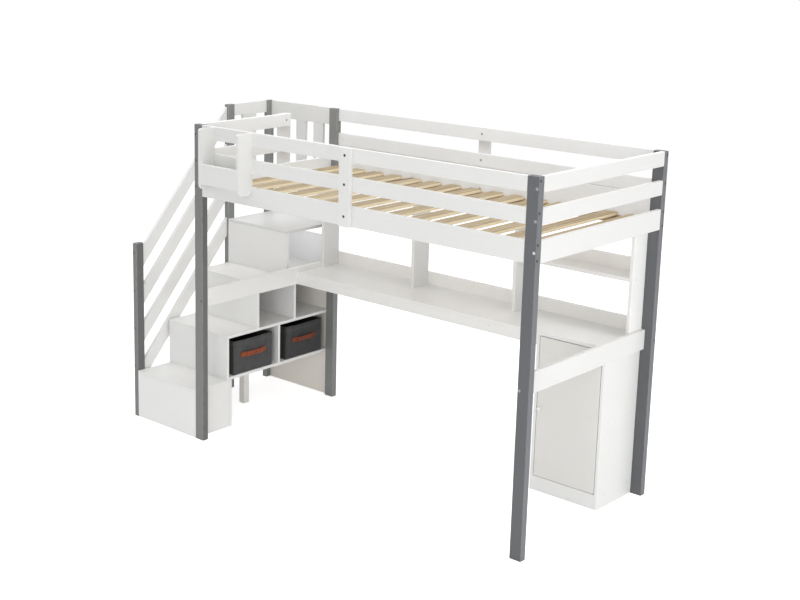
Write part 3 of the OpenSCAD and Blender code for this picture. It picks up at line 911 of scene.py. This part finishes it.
def stitch(shape: bmesh.types.BMesh, centre: Vector, along: Vector, out: Vector,
           length: float, width: float, height: float) -> None:
    """Adds one stitch: a low dash with sloping ends.

    Args:
        shape: The mesh that it goes into.
        centre: Middle of its foot.
        along: Direction of the thread.
        out: Direction away from the cloth.
        length: Length at its foot.
        width: Width at its foot.
        height: How far it stands out.
    """
    across = along.cross(out).normalized()
    rings = []
    for long, wide, rise in ((1.0, 1.0, 0.0), (STITCH_TOP[0], STITCH_TOP[1], height)):
        rings.append([
            shape.verts.new(centre + along * (end * length * long / 2)
                            + across * (side * width * wide / 2) + out * rise)
            for end, side in ((-1, -1), (1, -1), (1, 1), (-1, 1))
        ])
    bridge(shape, rings)


def soft_step(value: float, start: float, end: float) -> float:
    """A smooth step from 0 at start to 1 at end."""
    share = min(1.0, max(0.0, (value - start) / (end - start)))
    return share * share * (3 - 2 * share)


@dataclass
class FabricBin:
    """A felt bin: a sagging shell with a hem, a base board and a strap."""

    finishes: Finishes
    number: int
    body: Body
    cloth: Coat
    leather: Coat
    crease: float
    wall: float = 4 * MM
    corner: float = 6 * MM
    hem: float = 24 * MM
    hem_proud: float = 0.9 * MM
    bow: float = 4.5 * MM
    bow_at_foot: float = 0.15
    bow_power: float = 1.3
    sag: float = 5.0 * MM
    sag_power: float = 0.8
    sag_start: float = 0.35
    ripple: float = 0.7 * MM
    ripples_along: float = 5.2
    ripples_up: float = 2.3
    ripple_shift: float = 1.7
    fold_depth: float = 2.2 * MM
    fold_share: float = 0.045
    fold_rise: tuple[float, float] = (0.15, 0.7)
    foot: float = 3 * MM
    board: float = 3 * MM
    board_gap: float = 2.5 * MM
    levels: int = 30
    inner_levels: int = 13
    side_points: int = 26
    corner_points: int = 5
    stitch_pitch: float = 7 * MM
    stitch_size: Triple = (4.6 * MM, 1.3 * MM, 0.6 * MM)
    stitch_drop: float = 4 * MM
    strap_width: float = 190 * MM
    strap_height: float = 27 * MM
    strap_thickness: float = 3 * MM
    strap_rise: float = 10.5 * MM
    strap_dip: float = 0.12
    arch_foot: float = 0.86
    arch_top: float = 0.50
    hollow_end: float = 0.95
    strap_end: float = 7 * MM
    end_narrowing: float = 0.22
    strap_steps: int = 64
    strap_stitches: int = 34
    strap_stitch_size: Triple = (3.6 * MM, 1.1 * MM, 0.5 * MM)
    strap_stitch_inset: float = 3.2 * MM
    strap_stitch_reach: float = 0.94
    rivet_reach: float = 0.92
    rivet_points: int = 20
    slope_step: float = 0.01
    low: Vector = field(init=False)
    high: Vector = field(init=False)
    handle_low: Vector = field(init=False)
    handle_high: Vector = field(init=False)

    def __post_init__(self) -> None:
        """Takes the places of the bin and of its handle from their solids."""
        self.low, self.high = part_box(f"bin_{self.number}")
        self.handle_low, self.handle_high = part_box(f"bin_{self.number}_handle")

    @property
    def height(self) -> float:
        """The height of the bin."""
        return self.high.z - self.low.z

    def build(self) -> None:
        """Builds the bin's pieces and hides its solids."""
        shell = self._piece("fabric", self._shell(), self.cloth)
        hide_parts(f"bin_{self.number}")
        self._piece("base_board", self._base_board(), self.cloth, smooth=False)
        self._piece("hem_stitches", self._hem_stitches(), Coat.THREAD)
        strap = self._piece("strap", self._strap(), self.leather)
        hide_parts(f"bin_{self.number}_handle")
        self._piece("strap_stitches", self._strap_stitches(), Coat.STRAP_THREAD)
        self._piece("rivets", self._rivets(), Coat.BRONZE)

    def _piece(self, part: str, shape: bmesh.types.BMesh, coat: Coat,
               smooth: bool = True) -> bpy.types.Object:
        """Adds one piece of the bin, named after the bin and the part."""
        return add_piece(f"bin_{self.number}_{part}", shape, self.finishes[coat], self.body,
                         smooth)

    def _outline(self) -> list[tuple[Vector, Vector, float, Side | None]]:
        """Points round the bin, along each side and round the corner after it.

        Returns:
            Each point's place, its outward direction, its share along its side,
            and the side that it is on, or None at a corner.
        """
        middle = (self.low + self.high) / 2
        half_x = (self.high.x - self.low.x) / 2 - self.hem_proud
        half_y = (self.high.y - self.low.y) / 2 - self.hem_proud
        points: list[tuple[Vector, Vector, float, Side | None]] = []
        for side in Side:
            angle = math.radians(side.degrees)
            out = Vector((math.cos(angle), math.sin(angle), 0))
            along = Vector((-out.y, out.x, 0))
            reach = half_x if abs(out.x) > 0.5 else half_y
            run = (half_y if abs(out.x) > 0.5 else half_x) - self.corner
            for i in range(self.side_points):
                share = i / (self.side_points - 1)
                spot = middle + out * reach + along * (run * (2 * share - 1))
                points.append((Vector((spot.x, spot.y, 0)), out, share, side))
            centre = middle + out * (reach - self.corner) + along * run
            for i in range(1, self.corner_points):
                bend = angle + math.radians(90 * i / self.corner_points)
                away = Vector((math.cos(bend), math.sin(bend), 0))
                spot = centre + away * self.corner
                points.append((Vector((spot.x, spot.y, 0)), away, 0.5, None))
        return points

    def _inward(self, share: float, side: Side | None, rise: float) -> float:
        """How far a point of a side lies behind its straight outline.

        Args:
            share: Place along the side, 0 to 1.
            side: The side that the point is on, or None at a corner.
            rise: Height over the bottom, 0 to 1.

        Returns:
            The depth in metres.
        """
        if side is None:
            return 0.0
        belly = math.sin(math.pi * share)
        growth = self.bow_at_foot + (1 - self.bow_at_foot) * rise ** self.bow_power
        phase = self.number * self.ripple_shift + side.ripple_start
        ripple = self.ripple * belly * math.sin(
            self.ripples_along * math.pi * share + phase) * math.sin(
            self.ripples_up * math.pi * rise + phase)
        fold = 0.0
        if side is Side.FRONT:
            off = (share - self.crease) / self.fold_share
            fold = self.fold_depth * math.exp(-off * off) * soft_step(rise, *self.fold_rise)
        return max(0.0, self.bow * belly * growth + ripple + fold)

    def _drop(self, share: float, side: Side | None) -> float:
        """How far the rim sags at a point of a side."""
        share_of_sag = 0.0 if side is None else math.sin(math.pi * share) ** self.sag_power
        return self.sag * share_of_sag

    def _ring(self, shape: bmesh.types.BMesh, rise: float, behind: float,
              wavy: bool = True) -> list[bmesh.types.BMVert]:
        """Adds one level of the shell.

        Args:
            shape: The mesh that it goes into.
            rise: Height over the bottom, 0 to 1.
            behind: Distance behind the outer face.
            wavy: Whether the ring bows and sags.

        Returns:
            The ring's points.
        """
        made = []
        for spot, out, share, side in self._outline():
            depth = behind + (self._inward(share, side, rise) if wavy else 0.0)
            level = self.low.z + rise * self.height
            if wavy:
                level -= self._drop(share, side) * soft_step(rise, self.sag_start, 1.0)
            place = spot - out * depth
            made.append(shape.verts.new((place.x, place.y, level)))
        return made

    def _shell(self) -> bmesh.types.BMesh:
        """The outer walls, the hem, the rim, the inner walls and both bottoms.

        Returns:
            The closed shell.
        """
        shape = bmesh.new()
        height = self.height
        foot = self.foot / height
        hem_start = 1 - self.hem / height
        rings = [self._ring(shape, 0.0, self.foot),
                 self._ring(shape, 0.4 * foot, 0.4 * self.foot)]
        for i in range(self.levels):
            rise = foot + (hem_start - foot) * i / (self.levels - 1)
            rings.append(self._ring(shape, rise, 0.0))
        for rise, behind in ((hem_start + 0.004, -self.hem_proud),
                             (hem_start + 0.03, -self.hem_proud),
                             ((hem_start + 1) / 2, -0.9 * self.hem_proud),
                             (1 - 2.2 * MM / height, -self.hem_proud),
                             (1 - 0.7 * MM / height, -0.2 * self.hem_proud),
                             (1.0, 0.4 * self.wall), (1.0, 0.7 * self.wall),
                             (1 - 0.9 * MM / height, 1.1 * self.wall),
                             (hem_start + 0.02, 1.2 * self.wall),
                             (hem_start, self.wall)):
            rings.append(self._ring(shape, rise, behind))
        floor = self.wall / height
        for i in range(1, self.inner_levels + 1):
            rise = hem_start + (floor - hem_start) * i / self.inner_levels
            rings.append(self._ring(shape, rise, self.wall))
        bridge(shape, rings)
        return shape

    def _base_board(self) -> bmesh.types.BMesh:
        """The stiff board on the bottom of the bin, covered in the same cloth.

        Returns:
            The board, with its edges eased.
        """
        shape = bmesh.new()
        clear = self.wall + self.bow + self.board_gap
        low = self.wall / self.height
        thick = self.board / self.height
        rings = [self._ring(shape, low + rise * thick, clear + behind * MM, wavy=False)
                 for rise, behind in ((0.02, 0.8), (0.3, 0.0), (0.7, 0.0), (1.0, 0.8))]
        bridge(shape, rings)
        return shape

    def _hem_stitches(self) -> bmesh.types.BMesh:
        """The stitches that hold the hem, along its lower edge.

        Returns:
            All the stitches.
        """
        shape = bmesh.new()
        rise = 1 - (self.hem - self.stitch_drop) / self.height
        probe = bmesh.new()
        spots = [vert.co.copy() for vert in self._ring(probe, rise, -self.hem_proud)]
        probe.free()
        outs = [out for _, out, _, _ in self._outline()]
        spare = 0.0
        for i, start in enumerate(spots):
            end = spots[(i + 1) % len(spots)]
            span = (end - start).length
            while spare < span:
                along = (end - start).normalized()
                stitch(shape, start + along * spare, along, outs[i], *self.stitch_size)
                spare += self.stitch_pitch
            spare -= span
        return shape

    def _strap_lift(self, share: float) -> float:
        """How far the strap's middle stands in front of the bin's face.

        Args:
            share: Place along the strap, -1 to 1.

        Returns:
            The distance, which is less where the bin's front is hollow.
        """
        middle_z = (self.handle_low.z + self.handle_high.z) / 2
        across = 0.5 + share * self.strap_width / 2 / (self.high.y - self.low.y)
        sunk = self._inward(across, Side.FRONT, (middle_z - self.low.z) / self.height)
        off = abs(share)
        rest = self.strap_thickness / 2 - sunk * soft_step(off, self.arch_top, self.hollow_end)
        arch = soft_step(off, self.arch_foot, self.arch_top)
        if off < self.arch_top:
            return rest + self.strap_rise * arch * (
                1 - self.strap_dip * (1 - (off / self.arch_top) ** 2))
        return rest + self.strap_rise * arch * arch

    def _strap_path(self, share: float) -> tuple[Vector, Vector]:
        """A point in the middle of the strap.

        Args:
            share: Place along the strap, -1 to 1.

        Returns:
            The point and the strap's outward direction.
        """
        half = self.strap_width / 2
        middle_y = (self.handle_low.y + self.handle_high.y) / 2
        middle_z = (self.handle_low.z + self.handle_high.z) / 2
        growth = self._strap_lift(share + self.slope_step) - self._strap_lift(share - self.slope_step)
        out = Vector((1, -growth / (2 * self.slope_step * half), 0)).normalized()
        x = self.high.x + self._strap_lift(share)
        return Vector((x, middle_y + share * half, middle_z)), out

    def _strap(self) -> bmesh.types.BMesh:
        """The arched strap, with rounded edges and ends.

        Returns:
            The closed strap.
        """
        shape = bmesh.new()
        thick = self.strap_thickness / 2
        section = ((-1.0, -0.45), (-1.0, 0.45), (-0.94, 1.0), (-0.5, 1.08), (0.0, 1.1),
                   (0.5, 1.08), (0.94, 1.0), (1.0, 0.45), (1.0, -0.45), (0.94, -1.0),
                   (0.0, -1.0), (-0.94, -1.0))
        rings = []
        for i in range(self.strap_steps + 1):
            share = -1 + 2 * i / self.strap_steps
            spot, out = self._strap_path(share)
            end = (1 - abs(share)) * self.strap_width / 2
            tip = 1 - soft_step(end, 0, self.strap_end)
            tall = self.strap_height / 2 * (1 - self.end_narrowing * tip ** 2)
            rings.append([shape.verts.new(spot + out * (thick * push) + Vector((0, 0, tall * up)))
                          for up, push in section])
        bridge(shape, rings)
        return shape

    def _strap_stitches(self) -> bmesh.types.BMesh:
        """Two rows of stitches along the strap.

        Returns:
            All the stitches.
        """
        shape = bmesh.new()
        reach = self.strap_stitch_reach
        for i in range(self.strap_stitches):
            share = -reach + 2 * reach * i / (self.strap_stitches - 1)
            spot, out = self._strap_path(share)
            ahead, _ = self._strap_path(share + self.slope_step)
            along = (ahead - spot).normalized()
            for side in (-1, 1):
                foot = spot + out * (self.strap_thickness * 0.52)
                foot += Vector((0, 0, side * (self.strap_height / 2 - self.strap_stitch_inset)))
                stitch(shape, foot, along, out, *self.strap_stitch_size)
        return shape

    def _rivets(self) -> bmesh.types.BMesh:
        """A domed rivet at each end of the strap.

        Returns:
            Both rivets.
        """
        shape = bmesh.new()
        dome = ((0.0, -1.2 * MM), (2.6 * MM, -1.2 * MM), (3.1 * MM, -0.4 * MM),
                (3.1 * MM, 0.3 * MM), (2.6 * MM, 0.8 * MM), (1.5 * MM, 1.2 * MM),
                (0.0, 1.3 * MM))
        for share in (-self.rivet_reach, self.rivet_reach):
            spot, out = self._strap_path(share)
            lathe(shape, dome, spot + out * (self.strap_thickness * 0.55), out,
                  self.rivet_points)
        return shape


@dataclass
class SubAssembly:
    """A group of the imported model's nodes, with the names of those that share a finish."""

    coats: ClassVar[dict[Coat, str]]
    finishes: Finishes

    def dress(self) -> None:
        """Gives every node of the group its finish."""
        for coat, nodes in self.coats.items():
            for node in nodes.split():
                put_on(node, self.finishes[coat])


@dataclass
class BedFrame(SubAssembly):
    """Posts, rails, slats and the guards of the bed and of the landing."""

    coats: ClassVar[dict[Coat, str]] = {
        Coat.POST: "post_front_right post_back_right",
        Coat.LEFT_POST: "post_front_left newel_post",
        Coat.FAR_POST: "post_back_left stair_post_middle stair_post_back",
        Coat.RAIL_X: "front_side_rail front_guard_rails landing_back_rails",
        Coat.RAIL_Y: "right_end_board right_guard_rails desk_end_rails landing_end_rails",
        Coat.INNER_RAIL_X: "back_side_board back_guard_rails",
        Coat.INNER_RAIL_Y: "left_end_board entry_guard_rails",
        Coat.RAIL_Z: "guard_stiles landing_slats",
        Coat.HANDRAIL: "handrail_boards",
        Coat.SLAT: "slats",
        Coat.LEDGER: "slat_ledgers",
        Coat.BOLT: "frame_bolts",
        Coat.CAP: "panel_screws",
    }
    slat_pitch: float = 131 * MM
    slat_width: float = 70 * MM
    screw_inset: float = 12.5 * MM
    screw_radius: float = 3.2 * MM
    screw_points: int = 12

    def build(self) -> None:
        """Builds the small screws that hold the slats to their ledgers."""
        shape = bmesh.new()
        low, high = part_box("slats")
        rail_low, rail_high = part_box("slat_ledgers")
        x = low.x + self.slat_width / 2
        head = ((0.0, -1.5 * MM), (1.6 * MM, -1.5 * MM), (self.screw_radius, 0.15 * MM),
                (self.screw_radius, 0.3 * MM), (1.6 * MM, 0.45 * MM), (0.9 * MM, -0.6 * MM),
                (0.0, -0.7 * MM))
        while x < high.x:
            for y in (rail_low.y + self.screw_inset, rail_high.y - self.screw_inset):
                lathe(shape, head, Vector((x, y, high.z)), Vector((0, 0, 1)), self.screw_points)
            x += self.slat_pitch
        add_piece("slat_screw_heads", shape, self.finishes[Coat.NICKEL], Body.BED)


@dataclass
class Staircase(SubAssembly):
    """The box staircase: steps, cells and treads."""

    coats: ClassVar[dict[Coat, str]] = {
        Coat.TREAD: "step_1_tread step_2_tread step_3_tread unit_floor",
        Coat.PANEL: "step_1_ends step_1_sides step_risers unit_left_panels unit_dividers",
        Coat.TOP_TREAD: "step_4_tread",
        Coat.UNIT_BACK: "unit_back",
        Coat.LEG: "unit_leg",
    }


@dataclass
class Desk(SubAssembly):
    """The desk with its hutch."""

    coats: ClassVar[dict[Coat, str]] = {
        Coat.PANEL: "desk_top desk_apron desk_cross_rails upper_shelf",
        Coat.HUTCH_BACK: "desk_back_board shelf_back",
        Coat.UPRIGHT: "hutch_uprights",
    }


@dataclass
class Cupboard(SubAssembly):
    """The cupboard with its door and knob."""

    coats: ClassVar[dict[Coat, str]] = {
        Coat.PANEL: "cabinet_sides cabinet_shelves cabinet_back cabinet_plinth",
        Coat.DOOR: "door",
        Coat.PIN: "hinge_pins",
    }
    knob_points: int = 40
    knob_neck: tuple[tuple[float, float], ...] = (
        (0.0, 0.0), (0.50, 0.0), (0.50, 0.02), (0.42, 0.10), (0.36, 0.26), (0.38, 0.40),
        (0.52, 0.47))
    ball_middle: float = 0.74
    ball_start: int = -55
    ball_step: int = 9

    def build(self) -> None:
        """Builds the turned knob."""
        low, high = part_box("door_knob")
        radius = (high.x - low.x) / 2
        length = high.y - low.y
        centre = Vector(((low.x + high.x) / 2, high.y, (low.z + high.z) / 2))
        neck = [(across * radius, along * length) for across, along in self.knob_neck]
        turns = [math.radians(a) for a in range(self.ball_start, 90, self.ball_step)]
        rest = 1 - self.ball_middle
        ball = [(radius * math.cos(a), length * (self.ball_middle + rest * math.sin(a)))
                for a in turns]
        shape = bmesh.new()
        lathe(shape, [*neck, *ball, (0.0, length)], centre, Vector((0, -1, 0)), self.knob_points)
        knob = add_piece("turned_knob", shape, self.finishes[Coat.GLOSS], Body.DOOR)
        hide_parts("door_knob")


@dataclass
class Tray(SubAssembly):
    """The bedside tray that hangs outside the guard rails."""

    coats: ClassVar[dict[Coat, str]] = {Coat.TRAY: "tray_sides tray_lips tray_floor"}


@dataclass(frozen=True)
class Lamp:
    """A large soft lamp."""

    name: str
    place: Triple
    aim: Triple
    width: float
    height: float
    power: float

    def build(self) -> None:
        """Adds the lamp to the scene."""
        light = bpy.data.lights.new(self.name, "AREA")
        light.shape = "RECTANGLE"
        light.size = self.width
        light.size_y = self.height
        light.energy = self.power
        lamp = bpy.data.objects.new(self.name, light)
        lamp.location = self.place
        away = Vector(self.aim) - Vector(self.place)
        lamp.rotation_euler = away.to_track_quat("-Z", "Y").to_euler()
        lamp.visible_camera = False
        bpy.context.scene.collection.objects.link(lamp)


@dataclass
class Studio:
    """Camera, lamps, floor and the white surroundings."""

    eye: Triple = (4.28015, -4.98711, 2.58328)
    yaw: float = 0.748858
    pitch: float = 0.219640
    roll: float = 0.015595
    focal_pixels: float = 1360.08
    photo_width: int = 800
    sensor: float = 36.0
    shift: tuple[float, float] = (0.10, -0.075)
    ambient: float = 0.45
    floor_half: float = 30.0
    floor_glow: float = 0.62
    floor_tone: float = 0.90
    floor_bounce: float = 0.87
    floor_cells: int = 8
    lamps: tuple[Lamp, ...] = (
        Lamp("left front lamp", (-1.8, -6.0, 2.6), (0.0, 0.0, 0.8), 4.5, 3.0, 22.0),
        Lamp("low front lamp", (3.4, -5.8, 1.2), (0.0, 0.2, 0.7), 3.6, 2.2, 65.0),
        Lamp("high front lamp", (3.6, -5.6, 3.4), (0.0, 0.0, 0.8), 4.0, 3.0, 60.0),
        Lamp("low right lamp", (6.2, -0.4, 1.1), (0.0, 0.1, 0.8), 3.0, 2.0, 45.0),
        Lamp("high right lamp", (6.0, -0.6, 2.8), (0.6, 0.0, 0.9), 3.0, 2.6, 58.0),
        Lamp("cell lamp", (-1.006, 0.365, 0.990), (-1.006, 0.365, 0.0), 0.36, 0.24, 0.3),
        Lamp("top lamp", (0.0, -0.5, 5.2), (0.0, 0.0, 0.0), 4.0, 3.0, 138.0),
        Lamp("back lamp", (-1.0, 6.4, 2.8), (0.0, 0.0, 0.8), 4.0, 3.0, 42.0),
    )

    def build(self) -> None:
        """Sets up everything round the bed."""
        self._camera()
        self._world()
        self._floor()
        for lamp in self.lamps:
            lamp.build()
        bpy.context.scene.view_settings.view_transform = "Standard"

    def _camera(self) -> None:
        """Adds the camera at the photograph's place and angle."""
        ahead = Vector((-math.sin(self.yaw) * math.cos(self.pitch),
                        math.cos(self.yaw) * math.cos(self.pitch), -math.sin(self.pitch)))
        level = Vector((math.cos(self.yaw), math.sin(self.yaw), 0))
        upright = level.cross(ahead)
        right = level * math.cos(self.roll) + upright * math.sin(self.roll)
        up = upright * math.cos(self.roll) - level * math.sin(self.roll)
        data = bpy.data.cameras.new("camera")
        data.sensor_fit = "HORIZONTAL"
        data.sensor_width = self.sensor
        data.lens = self.focal_pixels * self.sensor / self.photo_width
        data.shift_x, data.shift_y = self.shift
        camera = bpy.data.objects.new("camera", data)
        turn = Matrix((right, up, -ahead)).transposed().to_4x4()
        camera.matrix_world = Matrix.Translation(Vector(self.eye)) @ turn
        bpy.context.scene.collection.objects.link(camera)
        bpy.context.scene.camera = camera

    @staticmethod
    def grey(tone: float) -> tuple[float, float, float, float]:
        """A neutral colour with its alpha."""
        return (tone, tone, tone, 1.0)

    def _world(self) -> None:
        """Lights from all round, and shows white behind and in reflections."""
        world = bpy.data.worlds.new("white room")
        bpy.context.scene.world = world
        world.use_nodes = True
        graph = Graph(world.node_tree)
        light, view = (
            graph.node("ShaderNodeBackground", None, {"Color": self.grey(1.0), "Strength": power})
            for power in (self.ambient, 1.0))
        both = graph.node("ShaderNodeMixShader", None,
                          {0: graph.seen(), 1: light.outputs[0], 2: view.outputs[0]})
        graph.node("ShaderNodeOutputWorld", None, {"Surface": both.outputs[0]})

    def _floor(self) -> None:
        """Adds the pale floor, which shows white where no shadow falls on it."""
        shape = bmesh.new()
        bmesh.ops.create_grid(shape, x_segments=self.floor_cells,
                              y_segments=self.floor_cells, size=self.floor_half)
        mesh = bpy.data.meshes.new("floor")
        shape.to_mesh(mesh)
        shape.free()
        floor = bpy.data.objects.new("floor", mesh)
        bpy.context.scene.collection.objects.link(floor)
        material = bpy.data.materials.new("pale floor")
        material.use_nodes = True
        graph = Graph(material.node_tree)
        shadowed, bounce = (
            graph.node("ShaderNodeBsdfDiffuse", None, {"Color": self.grey(tone)})
            for tone in (self.floor_tone, self.floor_bounce))
        glow = graph.node("ShaderNodeEmission", None,
                          {"Color": self.grey(1.0), "Strength": self.floor_glow})
        view = graph.node("ShaderNodeAddShader", None, {0: shadowed.outputs[0], 1: glow.outputs[0]})
        both = graph.node("ShaderNodeMixShader", None,
                          {0: graph.seen(), 1: bounce.outputs[0], 2: view.outputs[0]})
        graph.node("ShaderNodeOutputMaterial", None, {"Surface": both.outputs[0]})
        mesh.materials.append(material)


def main() -> None:
    """Dresses the bed, builds its added pieces and sets up the studio."""
    logging.basicConfig(level=logging.INFO, format="%(name)s: %(message)s")
    finishes = Finishes()
    bed, cupboard = BedFrame(finishes), Cupboard(finishes)
    for group in (bed, Staircase(finishes), Desk(finishes), cupboard, Tray(finishes)):
        group.dress()
    bed.build()
    cupboard.build()
    FabricBin(finishes, 1, Body.BIN_1, Coat.FELT_1, Coat.LEATHER_1, crease=0.82).build()
    FabricBin(finishes, 2, Body.BIN_2, Coat.FELT_2, Coat.LEATHER_2, crease=0.14).build()
    Studio().build()


if __name__ == "__main__":
    main()
